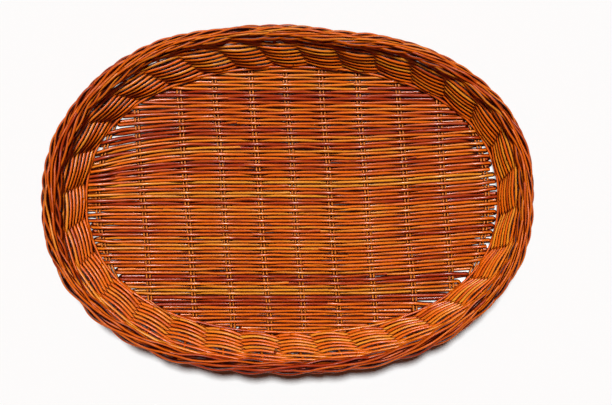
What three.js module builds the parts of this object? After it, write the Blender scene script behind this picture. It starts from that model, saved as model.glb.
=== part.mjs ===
// Shallow oval wicker basket, built as it is woven: doubled sticks across the floor, rods woven over
// and under them in rows, a foot wale below the edge, doubled stakes standing on it, wall rods in
// French randing round the stakes, and a rope-like border over their tops.
// Millimetres. +Z is up, X runs along the oval, and the origin is on the table under its centre.

import * as THREE from "three";

// Oval and wall
const rimLength = 450; // over the border, along X
const rimWidth = 321; // over the border, along Y
const ovalFullness = 2.27; // power of the oval: 2 is an ellipse, more is squarer
const endFlare = 18; // how far the wall leans out at the two ends, on average
const sideFlare = 24; // how far it leans out along the two long sides
const floorSetOff = 4; // the floor lies this far towards +X, so the wall leans out more at the -X end
const fitGap = 0.3; // clearance between pieces that touch

// Foot wale
const footHeight = 4;
const footWidth = 7;
const footOffset = 1; // its middle line lies this far outside the stakes

// Floor
const stickDiameter = 2.6;
const stickGap = 0.6; // between the two rods of a doubled stick
const stickPairs = 9; // doubled sticks across the floor, without the one along each end
const stickDrift = [1, 7, 6, 5, 2, 0, -1, 1, 2]; // how far each was set to the right of its even place
const stickLeanDegrees = 4.3; // how far the sticks stand askew of the oval's width
const edgeStickInset = 13.3; // from the stakes to the doubled stick along each end
const edgeStickBow = 22; // how far its ends are drawn in from its middle
const edgeStickSteps = 16; // straight lengths that its bow is made of
const edgeStickRoom = 42; // from the middle of its bow to the next doubled stick
const floorRodThickness = 2.6; // thickness of the woven rods
const rowGap = 0.6; // between neighbouring rows
const rowEndGap = 0.5; // from the ends of the rows to the foot wale
const steepestRowSlope = 0.45; // slope of a row where it has least room to bend over a stick
const floorWeavers = 7;

// Stakes and wall rods
const stakeDiameter = 3.5;
const stakePairs = 16;
const stakeLeanDistance = 16; // how far a stake's top leans along the border, anticlockwise from above
const wallRodThickness = 2.3;
const wallRodGap = 0.2; // between neighbouring wall rods, measured upright
const wallBendGap = 0.4; // extra room where a wall rod bends round a stake
const wallStrokes = 7; // rods seen one above another on the inside of each stake

// Border
const borderRods = 8;
const borderRodThickness = 2.7;
const borderCoreThickness = 4.6; // thickness of the bundle inside the border
const borderTurns = 3; // full turns that each border rod makes round the core
const ringStations = 64; // points that each ring round the oval is made of
const meetingError = 1e-6; // how closely a stick's end is brought to the oval of the stakes

// Heights, each resting on the piece below it
const stickZ = footHeight + fitGap + stickDiameter / 2;
const stakeBaseZ = stickZ + stickDiameter / 2 + fitGap + stakeDiameter / 2;
const wallRise = wallRodThickness + wallRodGap; // height that a wall rod gains from one stake to the next
const wallRodReach = wallRodThickness * Math.SQRT1_2; // middle to corner
const firstStroke = stakeDiameter / 2 + fitGap + wallRodReach + wallRise; // above the stakes' feet
const wallSteps = 2 * (wallStrokes - 1);
const lastStroke = firstStroke + wallSteps * wallRise;
// The border rods lie on a circle that leaves room between neighbours and round the core, also
// halfway between two stations, where a rod's straight length comes closest to the middle.
const besideRoom = (borderRodThickness / 2 + fitGap) / Math.tan(Math.PI / borderRods);
const coreRoom = borderCoreThickness * Math.SQRT1_2 + 2 * fitGap;
const stationTurn = (Math.PI * borderTurns) / ringStations;
const borderRadius = (Math.max(besideRoom, coreRoom) + borderRodThickness / 2) / Math.cos(stationTurn);
const borderReach = Math.hypot(borderRadius + borderRodThickness / 2, borderRodThickness / 2);
const borderZ = stakeBaseZ + lastStroke + wallRodReach + fitGap + borderReach;

// Half axes of the ovals through the border's middle and through the feet of the stakes
const borderHalfLength = rimLength / 2 - borderReach;
const borderHalfWidth = rimWidth / 2 - borderReach;
const baseHalfLength = borderHalfLength - endFlare;
const baseHalfWidth = borderHalfWidth - sideFlare;
const rowInset = footWidth / 2 - footOffset + rowEndGap; // the rows end inside the foot wale

// Weave of the floor. A row is high enough over a doubled stick to clear both its rods at the
// steepest slope, and with less room than that slope needs it passes two sticks on the same side.
const stickPairPitch = stickDiameter + stickGap;
const rowSwing =
  stickDiameter / 2 +
  fitGap +
  (floorRodThickness / 2) * Math.hypot(1, steepestRowSlope) +
  (stickPairPitch / 2) * steepestRowSlope;
const turnRoom = rowSwing / steepestRowSlope; // from the last stick to the turn of a row round it
const shortestSpan = 2 * turnRoom;
const rowPitch = floorRodThickness + rowGap;
const stakeCount = 2 * stakePairs;

// Varnished willow, each kind of rod with its own shade
const finishes = {
  stick: { color: 0xd98a3c, roughness: 0.5, metalness: 0 },
  floor: { color: 0xb5561a, roughness: 0.45, metalness: 0 },
  wall: { color: 0xc05c16, roughness: 0.42, metalness: 0 },
  stake: { color: 0x9c4a18, roughness: 0.5, metalness: 0 },
  border: { color: 0xb9621f, roughness: 0.42, metalness: 0 },
};

// The foot, floor, wall and border are groups, each at the height of its own middle or foot.
const basket = new THREE.Group();
function addGroup(name, x, z) {
  const group = new THREE.Group();
  group.name = name;
  group.position.set(x, 0, z);
  basket.add(group);
  return group;
}
const foot = addGroup("foot", floorSetOff, footHeight / 2);
const floor = addGroup("floor", floorSetOff, stickZ);
const wall = addGroup("wall", floorSetOff, stakeBaseZ);
const border = addGroup("border", 0, borderZ);

function addPiece(group, name, geometry, finish) {
  const piece = new THREE.Mesh(geometry, new THREE.MeshStandardMaterial(finish));
  piece.name = name;
  group.add(piece);
}
const numbered = (name, index) => `${name}_${String(index + 1).padStart(2, "0")}`;
const up = new THREE.Vector3(0, 0, 1);

// A level oval, run anticlockwise from +X.
class Oval extends THREE.Curve {
  constructor(halfLength, halfWidth) {
    super();
    this.halfLength = halfLength;
    this.halfWidth = halfWidth;
    this.arcLengthDivisions = 1200;
  }
  getPoint(t, target = new THREE.Vector3()) {
    const bulge = (value) => Math.sign(value) * Math.abs(value) ** (2 / ovalFullness);
    const angle = 2 * Math.PI * t;
    const x = this.halfLength * bulge(Math.cos(angle));
    const y = this.halfWidth * bulge(Math.sin(angle));
    return target.set(x, y, 0);
  }
  // Half the oval's extent along one axis, at a distance from the middle along the other.
  halfLengthAt(y) {
    const rest = 1 - Math.abs(y / this.halfWidth) ** ovalFullness;
    return this.halfLength * Math.max(rest, 0) ** (1 / ovalFullness);
  }
  halfWidthAt(x) {
    const rest = 1 - Math.abs(x / this.halfLength) ** ovalFullness;
    return this.halfWidth * Math.max(rest, 0) ** (1 / ovalFullness);
  }
}
const baseOval = new Oval(baseHalfLength, baseHalfWidth);
const borderOval = new Oval(borderHalfLength, borderHalfWidth);
const rowOval = new Oval(baseHalfLength - rowInset, baseHalfWidth - rowInset);
const footOval = new Oval(baseHalfLength + footOffset, baseHalfWidth + footOffset);
const around = (place) => ((place % 1) + 1) % 1;

// Sections, as corners in the plane across the rod: first along its facing, then to the left of it.
const squareSection = (thickness) => boxSection(thickness, thickness);
function boxSection(height, width) {
  const [h, w] = [height / 2, width / 2];
  return [[h, w], [-h, w], [-h, -w], [h, -w]];
}
function roundSection(diameter, corners = 6) {
  const angle = (k) => ((k + 0.5) * 2 * Math.PI) / corners;
  const corner = (_, k) => [
    (diameter / 2) * Math.cos(angle(k)),
    (diameter / 2) * Math.sin(angle(k)),
  ];
  return Array.from({ length: corners }, corner);
}

// A rod of one section along points, mitred at its bends. facings turn the section about the rod:
// one vector for the whole rod, or one for each point. A closed rod joins its last point to its first.
function rodGeometry(points, section, facings, closed = false) {
  const count = points.length;
  const sides = section.length;
  const positions = [];
  points.forEach((point, i) => {
    const before = points[closed ? (i + count - 1) % count : Math.max(i - 1, 0)];
    const after = points[closed ? (i + 1) % count : Math.min(i + 1, count - 1)];
    const arriving = point.clone().sub(before).normalize();
    const leaving = after.clone().sub(point).normalize();
    if (arriving.lengthSq() === 0) arriving.copy(leaving);
    if (leaving.lengthSq() === 0) leaving.copy(arriving);
    const along = arriving.clone().add(leaving);
    const stretch = 2 / along.length() - 1; // lengthens the section across a mitred bend
    along.normalize();
    const bend = leaving.clone().sub(arriving).normalize();
    const facing = (Array.isArray(facings) ? facings[i] : facings).clone();
    facing.addScaledVector(along, -facing.dot(along)).normalize();
    const left = along.clone().cross(facing);
    section.forEach(([f, l]) => {
      const corner = facing.clone().multiplyScalar(f).addScaledVector(left, l);
      corner.addScaledVector(bend, stretch * corner.dot(bend)).add(point);
      positions.push(corner.x, corner.y, corner.z);
    });
  });
  const faces = [];
  for (let i = 0; i < (closed ? count : count - 1); i++) {
    const [here, next] = [i * sides, ((i + 1) % count) * sides];
    for (let k = 0; k < sides; k++) {
      const beside = (k + 1) % sides;
      faces.push(here + k, here + beside, next + beside);
      faces.push(here + k, next + beside, next + k);
    }
  }
  for (let k = 1; k < sides - 1 && !closed; k++) {
    const last = (count - 1) * sides;
    faces.push(0, k + 1, k);
    faces.push(last, last + k, last + k + 1);
  }
  const geometry = new THREE.BufferGeometry();
  geometry.setAttribute("position", new THREE.Float32BufferAttribute(positions, 3));
  geometry.setIndex(faces);
  geometry.computeVertexNormals();
  return geometry;
}

// Points evenly spaced round an oval, each with its outward direction.
function ovalStations(oval) {
  return Array.from({ length: ringStations }, (_, i) => ({
    point: oval.getPointAt(i / ringStations),
    outward: oval.getTangentAt(i / ringStations).cross(up).normalize(),
  }));
}

// Foot wale: the flat ring that the basket stands on.
function addFootWale() {
  const points = ovalStations(footOval).map(({ point }) => point);
  const geometry = rodGeometry(points, boxSection(footHeight, footWidth), up, true);
  addPiece(foot, "foot_wale", geometry, finishes.wall);
}

// Where the middle of each doubled stick lies at a distance y across the floor, with its slope there,
// and how far the stick reaches.
function floorSticks() {
  const sticks = [];
  const skew = Math.tan(THREE.MathUtils.degToRad(stickLeanDegrees));
  const outermost = baseHalfLength - edgeStickInset - edgeStickRoom;
  for (let i = 0; i < stickPairs; i++) {
    const middle = ((2 * i) / (stickPairs - 1) - 1) * outermost + (stickDrift[i] ?? 0);
    const name = numbered("floor_stick_pair", i);
    sticks.push({ name, steps: 1, xAt: (y) => middle - y * skew, slopeAt: () => -skew });
  }
  const edgeMiddle = baseHalfLength - edgeStickInset;
  const edgeReach = baseOval.halfWidthAt(edgeMiddle - edgeStickBow);
  const edgeRadius = (edgeReach ** 2 + edgeStickBow ** 2) / (2 * edgeStickBow);
  const bow = (y) => Math.sqrt(Math.max(edgeRadius ** 2 - y ** 2, 0));
  const edgeStick = (name, side) => ({
    name,
    steps: edgeStickSteps,
    xAt: (y) => side * (edgeMiddle - edgeRadius + bow(y)),
    slopeAt: (y) => (-side * y) / bow(y),
  });
  sticks.unshift(edgeStick("left_edge_stick_pair", -1));
  sticks.push(edgeStick("right_edge_stick_pair", 1));
  // Each end lies over the foot wale, where the stick meets the oval of the stakes.
  const meets = (stick, side) => {
    let [inside, outside] = [0, side * baseHalfWidth];
    while (Math.abs(outside - inside) > meetingError) {
      const y = (inside + outside) / 2;
      if (Math.abs(stick.xAt(y)) < baseOval.halfLengthAt(y)) inside = y;
      else outside = y;
    }
    return inside;
  };
  sticks.forEach((stick) => {
    stick.low = meets(stick, -1);
    stick.high = meets(stick, 1);
  });
  return sticks;
}
const sticks = floorSticks();

// A doubled stick is one rod folded like a hairpin, so its two halves lie side by side.
function addStickPair(stick) {
  const [one, other] = [[], []];
  for (let i = 0; i <= stick.steps; i++) {
    const y = THREE.MathUtils.lerp(stick.low, stick.high, i / stick.steps);
    const across = new THREE.Vector3(1, -stick.slopeAt(y), 0).setLength(stickPairPitch / 2);
    const middle = new THREE.Vector3(stick.xAt(y), y, 0);
    one.push(middle.clone().sub(across));
    other.unshift(middle.clone().add(across));
  }
  const geometry = rodGeometry([...one, ...other], roundSection(stickDiameter), up);
  addPiece(floor, stick.name, geometry, finishes.stick);
}

// How far out a row can turn back: inside the wall, and clear of any doubled stick it would touch.
function turnPlace(rows, side) {
  const ys = rows.flatMap((y) => [y - floorRodThickness / 2, y + floorRodThickness / 2]);
  let reach = Math.min(...ys.map((y) => rowOval.halfLengthAt(y))) - floorRodThickness / 2;
  const order = side > 0 ? [...sticks].reverse() : sticks;
  for (const stick of order) {
    const met = ys.filter((y) => y > stick.low - stickPairPitch && y < stick.high + stickPairPitch);
    const places = met.map((y) => side * stick.xAt(y));
    const halfPair = ((stickPairPitch + stickDiameter) / 2) * Math.hypot(1, stick.slopeAt(ys[0]));
    const inside = Math.min(...places) - halfPair - floorRodThickness / 2 - fitGap;
    if (reach > inside && reach < Math.max(...places) + turnRoom) reach = inside;
  }
  return side * reach;
}

// One row from left to right: over one doubled stick, under the next, turned about in the next row.
function rowPoints(y, row, leftEnd, rightEnd) {
  const points = [];
  let place = -Infinity;
  let side = row % 2 ? 1 : -1;
  sticks.forEach((stick) => {
    const x = stick.xAt(y);
    const crossed = y > stick.low && y < stick.high && x > leftEnd && x < rightEnd;
    if (x - place >= shortestSpan) side = -side;
    if (crossed) {
      points.push(new THREE.Vector3(x, y, side * rowSwing));
      place = x;
    }
  });
  const end = (x) => new THREE.Vector3(x, y, 0);
  return [end(leftEnd), ...points, end(rightEnd)];
}

// A floor weaver runs along one row, turns round the last stick and comes back along the next.
function addFloorWeavers() {
  const rowCount = Math.floor((2 * rowOval.halfWidth - 2 * floorRodThickness) / rowPitch / 2) * 2 + 1;
  const rowsEach = Math.ceil(rowCount / floorWeavers);
  for (let weaver = 0; weaver < floorWeavers; weaver++) {
    const first = weaver * rowsEach;
    const last = Math.min(first + rowsEach, rowCount) - 1;
    const yOf = (row) => ((rowCount - 1) / 2 - row) * rowPitch;
    // Two rows that are joined at one end turn back at the same place there.
    const endOf = (row, side) => {
      const joinsNext = ((row - first) % 2 === 0) === side > 0;
      const partner = Math.min(Math.max(joinsNext ? row + 1 : row - 1, first), last);
      return turnPlace([yOf(row), yOf(partner)], side);
    };
    const points = [];
    for (let row = first; row <= last; row++) {
      const along = rowPoints(yOf(row), row, endOf(row, -1), endOf(row, 1));
      points.push(...((row - first) % 2 ? along.reverse() : along));
    }
    const geometry = rodGeometry(points, squareSection(floorRodThickness), up);
    addPiece(floor, numbered("floor_weaver", weaver), geometry, finishes.floor);
  }
}

// A line up the wall's middle surface, from the feet of the stakes to the border's middle. place
// counts stakes round the oval.
const wallHeight = borderZ - stakeBaseZ;
const leanShare = stakeLeanDistance / borderOval.getLength();
function wallLine(place) {
  const share = place / stakeCount;
  const low = baseOval.getPointAt(around(share));
  const high = borderOval.getPointAt(around(share + leanShare));
  high.add(new THREE.Vector3(-floorSetOff, 0, wallHeight));
  const rise = high.clone().sub(low);
  const outward = baseOval.getTangentAt(around(share)).cross(rise).normalize();
  return { low, high, rise, outward };
}

// A stake pair is one rod bent like a U: it stands on the foot wale and rises as two stakes,
// which stop just under the border.
function addStakePair(pair) {
  const topOf = (place) => {
    const { high, rise } = wallLine(place);
    const direction = rise.normalize();
    const slant = direction.dot(borderOval.getTangentAt(around(place / stakeCount + leanShare)));
    const clear = borderReach + fitGap + (stakeDiameter / 2) * Math.abs(slant);
    return high.addScaledVector(direction, -clear / Math.sqrt(1 - slant ** 2));
  };
  const [here, next] = [2 * pair, 2 * pair + 1];
  const points = [topOf(here), wallLine(here).low, wallLine(next).low, topOf(next)];
  const outwards = [here, here, next, next].map((place) => wallLine(place).outward);
  const geometry = rodGeometry(points, roundSection(stakeDiameter), outwards);
  addPiece(wall, numbered("stake_pair", pair), geometry, finishes.stake);
}

// A wall weaver is looped round one stake, and its two halves climb the wall: inside one stake,
// outside the next, a step higher each time, until they reach the border.
function addWallWeaver(weaver) {
  const start = 2 * weaver;
  const swing = stakeDiameter / 2 + wallRodThickness / 2 + fitGap + wallBendGap;
  const loop = swing / (baseOval.getLength() / stakeCount); // the loop's length, in stake spacings
  const [points, outwards] = [[], []];
  const visit = (place, step, out) => {
    const { low, rise, outward } = wallLine(place);
    const share = (firstStroke + step * wallRise) / wallHeight;
    points.push(low.addScaledVector(rise, share).addScaledVector(outward, out));
    outwards.push(outward);
  };
  for (let step = wallSteps; step >= -1; step--) {
    visit(start + 1 + step, step, step % 2 ? swing : -swing);
  }
  visit(start - loop, -2 / 3, swing);
  visit(start - loop, -1 / 3, -swing);
  for (let step = 0; step <= wallSteps; step++) {
    visit(start + step, step, step % 2 ? swing : -swing);
  }
  const geometry = rodGeometry(points, squareSection(wallRodThickness), outwards);
  addPiece(wall, numbered("wall_weaver", weaver), geometry, finishes.wall);
}

// The border: rods laid like a rope round a core, which runs along the tops of the stakes.
function addBorder() {
  const stations = ovalStations(borderOval);
  const core = stations.map(({ point }) => point);
  const outwards = stations.map(({ outward }) => outward);
  const bundle = rodGeometry(core, squareSection(borderCoreThickness), outwards, true);
  addPiece(border, "border_core", bundle, finishes.stake);
  for (let rod = 0; rod < borderRods; rod++) {
    const spokes = stations.map(({ outward }, i) => {
      const angle = 2 * Math.PI * ((borderTurns * i) / ringStations + rod / borderRods);
      return outward.clone().multiplyScalar(Math.cos(angle)).addScaledVector(up, Math.sin(angle));
    });
    const points = spokes.map((spoke, i) => core[i].clone().addScaledVector(spoke, borderRadius));
    const geometry = rodGeometry(points, squareSection(borderRodThickness), spokes, true);
    addPiece(border, numbered("border_rod", rod), geometry, finishes.border);
  }
}

addFootWale();
sticks.forEach(addStickPair);
addFloorWeavers();
for (let pair = 0; pair < stakePairs; pair++) {
  addStakePair(pair);
  addWallWeaver(pair);
}
addBorder();

export default basket;
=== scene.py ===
"""Shallow oval wicker basket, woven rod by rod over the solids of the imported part."""

import math

import bpy
import numpy as np
from bpy.props import FloatProperty, FloatVectorProperty, PointerProperty
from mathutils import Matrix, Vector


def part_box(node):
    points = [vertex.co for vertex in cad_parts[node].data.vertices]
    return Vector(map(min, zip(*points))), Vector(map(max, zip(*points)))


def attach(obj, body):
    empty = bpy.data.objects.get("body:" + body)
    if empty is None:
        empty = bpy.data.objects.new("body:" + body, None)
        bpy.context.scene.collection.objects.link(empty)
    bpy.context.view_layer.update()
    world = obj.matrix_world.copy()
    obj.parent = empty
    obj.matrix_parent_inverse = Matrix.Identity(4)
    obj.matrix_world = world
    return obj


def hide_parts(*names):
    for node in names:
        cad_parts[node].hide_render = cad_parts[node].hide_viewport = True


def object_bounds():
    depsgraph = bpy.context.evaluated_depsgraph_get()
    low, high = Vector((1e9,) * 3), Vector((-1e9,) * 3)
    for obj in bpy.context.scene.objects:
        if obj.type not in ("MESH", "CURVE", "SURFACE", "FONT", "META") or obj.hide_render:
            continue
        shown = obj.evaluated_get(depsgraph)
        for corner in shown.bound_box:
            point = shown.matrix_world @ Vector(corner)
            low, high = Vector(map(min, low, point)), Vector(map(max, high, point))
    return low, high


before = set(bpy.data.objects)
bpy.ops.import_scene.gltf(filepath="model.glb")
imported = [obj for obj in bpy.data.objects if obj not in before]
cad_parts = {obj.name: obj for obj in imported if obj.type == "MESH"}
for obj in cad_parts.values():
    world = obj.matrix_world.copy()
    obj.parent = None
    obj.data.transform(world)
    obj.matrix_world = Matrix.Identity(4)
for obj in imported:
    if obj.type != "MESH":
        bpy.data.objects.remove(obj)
CAD_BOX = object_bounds()
RIM_SIZE = CAD_BOX[1] - CAD_BOX[0]

bl_info = {
    "name": "Oval Wicker Basket",
    "version": (1, 0, 0),
    "blender": (4, 5, 0),
    "location": "3D View > Sidebar > Basket",
    "description": "Weaves a shallow oval willow basket, rod by rod",
    "category": "Add Mesh",
}

MM = 0.001
TAU = 2 * math.pi
STAKES = 32
STROKES = 12  # steps that a wall rod climbs, from one stake to the next
FLOOR_WEAVERS = 7
ROWS_EACH = 11  # rows that one floor weaver runs back and forth along
FLOOR_ROWS = FLOOR_WEAVERS * ROWS_EACH
BORDER_STRANDS = 8
ROD_GAP = 0.3 * MM  # between rods that lie on each other
SECTION = 10  # corners of a rod's round section
SEEDS = {
    "foot": 3, "stick places": 11, "sticks": 7, "partings": 23, "floor": 60, "turns": 500,
    "rows": 1000, "row pairs": 1500, "stakes": 31, "wall": 90, "border": 5,
}


# Sizes and colours

def length(name, description, default):
    return FloatProperty(
        name=name, description=description, default=default, min=0.0,
        subtype="DISTANCE", unit="LENGTH",
    )


def colour(name, description, default):
    return FloatVectorProperty(
        name=name, description=description, default=default, size=3, min=0.0, max=1.0,
        subtype="COLOR",
    )


class BasketSizes(bpy.types.PropertyGroup):
    rim_length: length("Rim Length", "Over the border, along X", round(RIM_SIZE.x, 3))
    rim_width: length("Rim Width", "Over the border, along Y", round(RIM_SIZE.y, 3))
    fullness: FloatProperty(
        name="Oval Fullness", description="2 is an ellipse, more is squarer",
        default=2.27, min=1.5, max=4.0,
    )
    end_lean: length("End Lean", "How far the wall leans out at the ends, on average", 18 * MM)
    side_lean: length("Side Lean", "How far the wall leans out along the sides", 24 * MM)
    floor_set_off: length(
        "Floor Set Off", "How far the floor lies towards +X of the rim's middle", 4 * MM
    )
    stake_lean: length("Stake Lean", "How far a stake's top leans along the rim", 16 * MM)
    floor_rod: length("Floor Rod", "Thickness of the rods woven into the floor", 4.0 * MM)
    row_pitch: length("Row Pitch", "From one row of the floor to the next", 3.33 * MM)
    stick_rod: length("Stick Rod", "Thickness of the rods of the doubled sticks", 2.6 * MM)
    stake_rod: length("Stake Rod", "Thickness of the stakes", 3.1 * MM)
    wall_rod: length("Wall Rod", "Thickness of the rods woven into the wall", 3.5 * MM)
    border_rod: length("Border Rod", "Thickness of the rods of the border", 3.4 * MM)
    foot_rod: length("Foot Rod", "Thickness of the rods of the foot wale", 2.4 * MM)


class WillowColours(bpy.types.PropertyGroup):
    red_rod: colour("Red Rod", "The reddest rods", (0.42, 0.034, 0.002))
    orange_rod: colour("Orange Rod", "The common rods", (0.95, 0.153, 0.003))
    golden_rod: colour("Golden Rod", "The palest rods", (0.98, 0.34, 0.02))
    stick: colour("Stick", "The doubled sticks of the floor", (0.78, 0.20, 0.012))
    cut_end: colour("Cut End", "The cut ends of the rods", (0.32, 0.14, 0.04))
    table: colour("Table", "The pale surface that the basket stands on", (0.936, 0.968, 0.972))


# Ovals and the lines that the rods follow

def seeded(name, number=0):
    """Random numbers, the same in every run."""
    return np.random.default_rng(SEEDS[name] + number)


def smooth(share):
    """Eases from 0 to 1, and stays level outside that range."""
    share = np.clip(share, 0.0, 1.0)
    return share * share * (3 - 2 * share)


def hump(away, width):
    """A round hump: 1 in the middle, and next to nothing two widths away."""
    return np.exp(-((away / width) ** 2))


def sway(rng, along, wave, amount):
    """A slow random sway: three waves of random phase, the longest of the given length."""
    rates, peak = (1, 1.7, 2.9), 1.9
    total = sum(
        np.sin(TAU * rate * along / wave + rng.uniform(0, TAU)) / rate
        for rate in rates
    )
    return amount * total / peak


def unit(arrows):
    return arrows / np.linalg.norm(arrows, axis=1)[:, None]


def run_of(line):
    """Distance along a line, at each of its points."""
    return np.concatenate([[0.0], np.cumsum(np.linalg.norm(np.diff(line, axis=0), axis=1))])


class Oval:
    """A level oval, walked anticlockwise from +X by shares of its length."""

    POINTS = 7201
    NUDGE = 4e-4  # share of the length

    def __init__(self, half_length, half_width, fullness, middle_x=0.0):
        self.half_length, self.half_width = half_length, half_width
        self.fullness, self.middle_x = fullness, middle_x
        turn = np.linspace(0, TAU, self.POINTS)
        x, y = half_length * self.bulge(np.cos(turn)), half_width * self.bulge(np.sin(turn))
        line = np.column_stack([x, y])
        run = run_of(line)
        self.line, self.length, self.shares = line + (middle_x, 0), run[-1], run / run[-1]

    def bulge(self, value):
        return np.sign(value) * np.abs(value) ** (2 / self.fullness)

    def at(self, share):
        share = np.mod(share, 1.0)
        return np.column_stack([np.interp(share, self.shares, self.line[:, k]) for k in (0, 1)])

    def along(self, share):
        share = np.asarray(share)
        return unit(self.at(share + self.NUDGE) - self.at(share - self.NUDGE))

    def outward(self, share):
        along = self.along(share)
        return np.column_stack([along[:, 1], -along[:, 0]])

    def half_length_at(self, y):
        rest = np.clip(1 - np.abs(y / self.half_width) ** self.fullness, 0, None)
        return self.half_length * rest ** (1 / self.fullness)


class Layout:
    """The ovals and heights that the rods are laid by."""

    BORDER_REACH = 7.25 * MM  # from its middle to the rim's outline
    SWELL_AT, SWELL_ARC = 168, 34  # degrees round the rim
    SWELL_INWARDS = 1.8 * MM
    # Dents of the rim: degrees round it, and mm out
    DENTS = ((15, 1.8), (72, -3.4), (130, 2.2), (163, -1.6), (232, 1.6), (330, -2.2))
    DENT_ARC = 13  # degrees
    WALL_SET_IN = 3.0 * MM  # of its top, from the border's middle

    def __init__(self, sizes):
        self.sizes = sizes
        reach = self.BORDER_REACH
        self.rim = Oval(sizes.rim_length / 2 - reach, sizes.rim_width / 2 - reach, sizes.fullness)
        self.base = Oval(
            self.rim.half_length - sizes.end_lean, self.rim.half_width - sizes.side_lean,
            sizes.fullness, sizes.floor_set_off,
        )
        self.stick_z, self.border_z = (
            sum(corner.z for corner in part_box(node)) / 2
            for node in ("floor_stick_pair_05", "border_core")
        )
        self.stake_foot_z = self.stick_z + sizes.stick_rod / 2 + ROD_GAP + sizes.stake_rod / 2
        self.wall_height = self.border_z - self.stake_foot_z
        self.stake_pitch = self.base.length / STAKES

    def bearing(self, share):
        """Degrees round the rim, anticlockwise from +X."""
        flat = self.rim.at(share)
        return np.degrees(np.arctan2(flat[:, 1], flat[:, 0]))

    def swell(self, share):
        """How much the border spreads: 1 at the left end, where more rods lie side by side."""
        return hump(self.bearing(share) % 360 - self.SWELL_AT, self.SWELL_ARC)

    def rim_line(self, share):
        """The middle of the border, with the dents of a rim made by hand."""
        bearing = self.bearing(share)
        out = -self.SWELL_INWARDS * self.swell(share)
        for degrees, dent in self.DENTS:
            away = (bearing - degrees + 180) % 360 - 180
            out += dent * MM * hump(away, self.DENT_ARC)
        flat = self.rim.at(share) + out[:, None] * self.rim.outward(share)
        return np.column_stack([flat, np.full(len(flat), self.border_z)])

    def wall(self, place, height, out):
        """Points of the wall, and the ways that it faces there.

        place counts stakes round the wall, height is above their feet, and out is outwards."""
        share = np.asarray(place, float) / STAKES
        low = np.column_stack([self.base.at(share), np.full(len(share), self.stake_foot_z)])
        above = share + self.sizes.stake_lean / self.rim.length
        rise = self.rim_line(above) - low
        rise[:, :2] -= self.WALL_SET_IN * self.rim.outward(above)
        along = np.column_stack([self.base.along(share), np.zeros(len(share))])
        outward = unit(np.cross(along, rise))
        up = (np.asarray(height) / self.wall_height)[:, None]
        return low + rise * up + outward * np.asarray(out)[:, None], outward


# Rods and pieces

class Rod:
    """One rod: its line, half thickness, shade, from 0 for red to 1 for golden, and facing, the
    side that its painted flank shade keeps clear of.
    """

    def __init__(self, line, half, shade, face=(0, 0, 1)):
        self.line = np.asarray(line, float)
        self.half = np.broadcast_to(np.asarray(half, float), len(self.line))
        self.shade = np.clip(np.broadcast_to(np.asarray(shade, float), len(self.line)), 0, 1)
        self.face = np.broadcast_to(np.asarray(face, float), self.line.shape)


def draw_rods(node, rods):
    """Draws rods as curves and turns them into one mesh."""
    bpy.ops.object.select_all(action="DESELECT")
    bpy.ops.curve.primitive_nurbs_path_add(location=(0, 0, 0))
    curve = bpy.context.object.data
    curve.splines.clear()
    for rod in rods:
        spline = curve.splines.new("POLY")
        spline.points.add(len(rod.line) - 1)
        points = np.column_stack([rod.line, np.ones(len(rod.line))])
        spline.points.foreach_set("co", points.ravel())
        spline.points.foreach_set("radius", np.ascontiguousarray(rod.half))
    curve.dimensions = "3D"
    curve.twist_mode = "MINIMUM"
    curve.bevel_depth = 1.0
    curve.bevel_resolution = SECTION // 2 - 2
    bpy.ops.object.convert(target="MESH")
    piece = bpy.context.object
    piece.name = piece.data.name = node + "_rods"
    return piece


def mark_rods(mesh, rods, rng, one_faced, unshaded):
    """Keeps each rod's own length and turn as its UV map, and its shade and the painted shade of
    its flanks as attributes.
    """
    pattern_length, shade_fade = 60, 0.38

    def on_sections(values):
        return np.repeat(np.concatenate(values), SECTION, axis=0)

    along = on_sections([run_of(rod.line) + rng.uniform(0, pattern_length) for rod in rods])
    # Painted shade: the flanks next to the neighbours are darkened, standing in for the shade
    # between rods
    points = np.empty(3 * len(along))
    mesh.vertices.foreach_get("co", points)
    flank = points.reshape(-1, 3) - on_sections([rod.line for rod in rods])
    faces = on_sections([rod.face for rod in rods])
    flank = np.sum(flank * faces, axis=1) / np.linalg.norm(flank, axis=1)
    painted_shade = 1 - smooth(((flank if one_faced else np.abs(flank)) - unshaded) / shade_fade)
    shade = on_sections([rod.shade for rod in rods])
    for name, values in (("rod_shade", shade), ("rod_painted_shade", painted_shade)):
        attribute = mesh.attributes.new(name, "FLOAT", "POINT")
        attribute.data.foreach_set("value", values.astype(np.float32))
    corner = np.empty(len(mesh.loops), np.int32)
    mesh.loops.foreach_get("vertex_index", corner)
    layer = mesh.uv_layers[0]
    layer.name = "rod_uv"
    places = np.empty(2 * len(corner), np.float32)
    layer.data.foreach_get("uv", places)
    places[0::2] = along[corner]
    layer.data.foreach_set("uv", places)


def close_ends(mesh, finish):
    """Closes the cut ends of the active object's rods, with a finish of their own."""
    bpy.ops.object.mode_set(mode="EDIT")
    bpy.ops.mesh.select_all(action="SELECT")
    bpy.ops.mesh.fill_holes(sides=0)
    bpy.ops.object.mode_set(mode="OBJECT")
    bpy.ops.object.shade_smooth_by_angle(angle=math.radians(60))
    corners = np.empty(len(mesh.polygons), np.int32)
    mesh.polygons.foreach_get("loop_total", corners)
    mesh.materials.clear()
    for name in (finish, "cut_willow"):
        mesh.materials.append(bpy.data.materials[name])
    mesh.polygons.foreach_set("material_index", (corners > 4).astype(np.int32))
    mesh.update()


def make_piece(node, rods, finish, rng, one_faced=False, unshaded=0.6):
    """Makes rods into one closed mesh, in place of a CAD node.

    One-faced rods are kept free of painted shade on that side only. The higher the threshold, the
    narrower the strip without painted shade."""
    piece = draw_rods(node, rods)
    mark_rods(piece.data, rods, rng, one_faced, unshaded)
    close_ends(piece.data, finish)
    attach(piece, "root")
    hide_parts(node)


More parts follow.
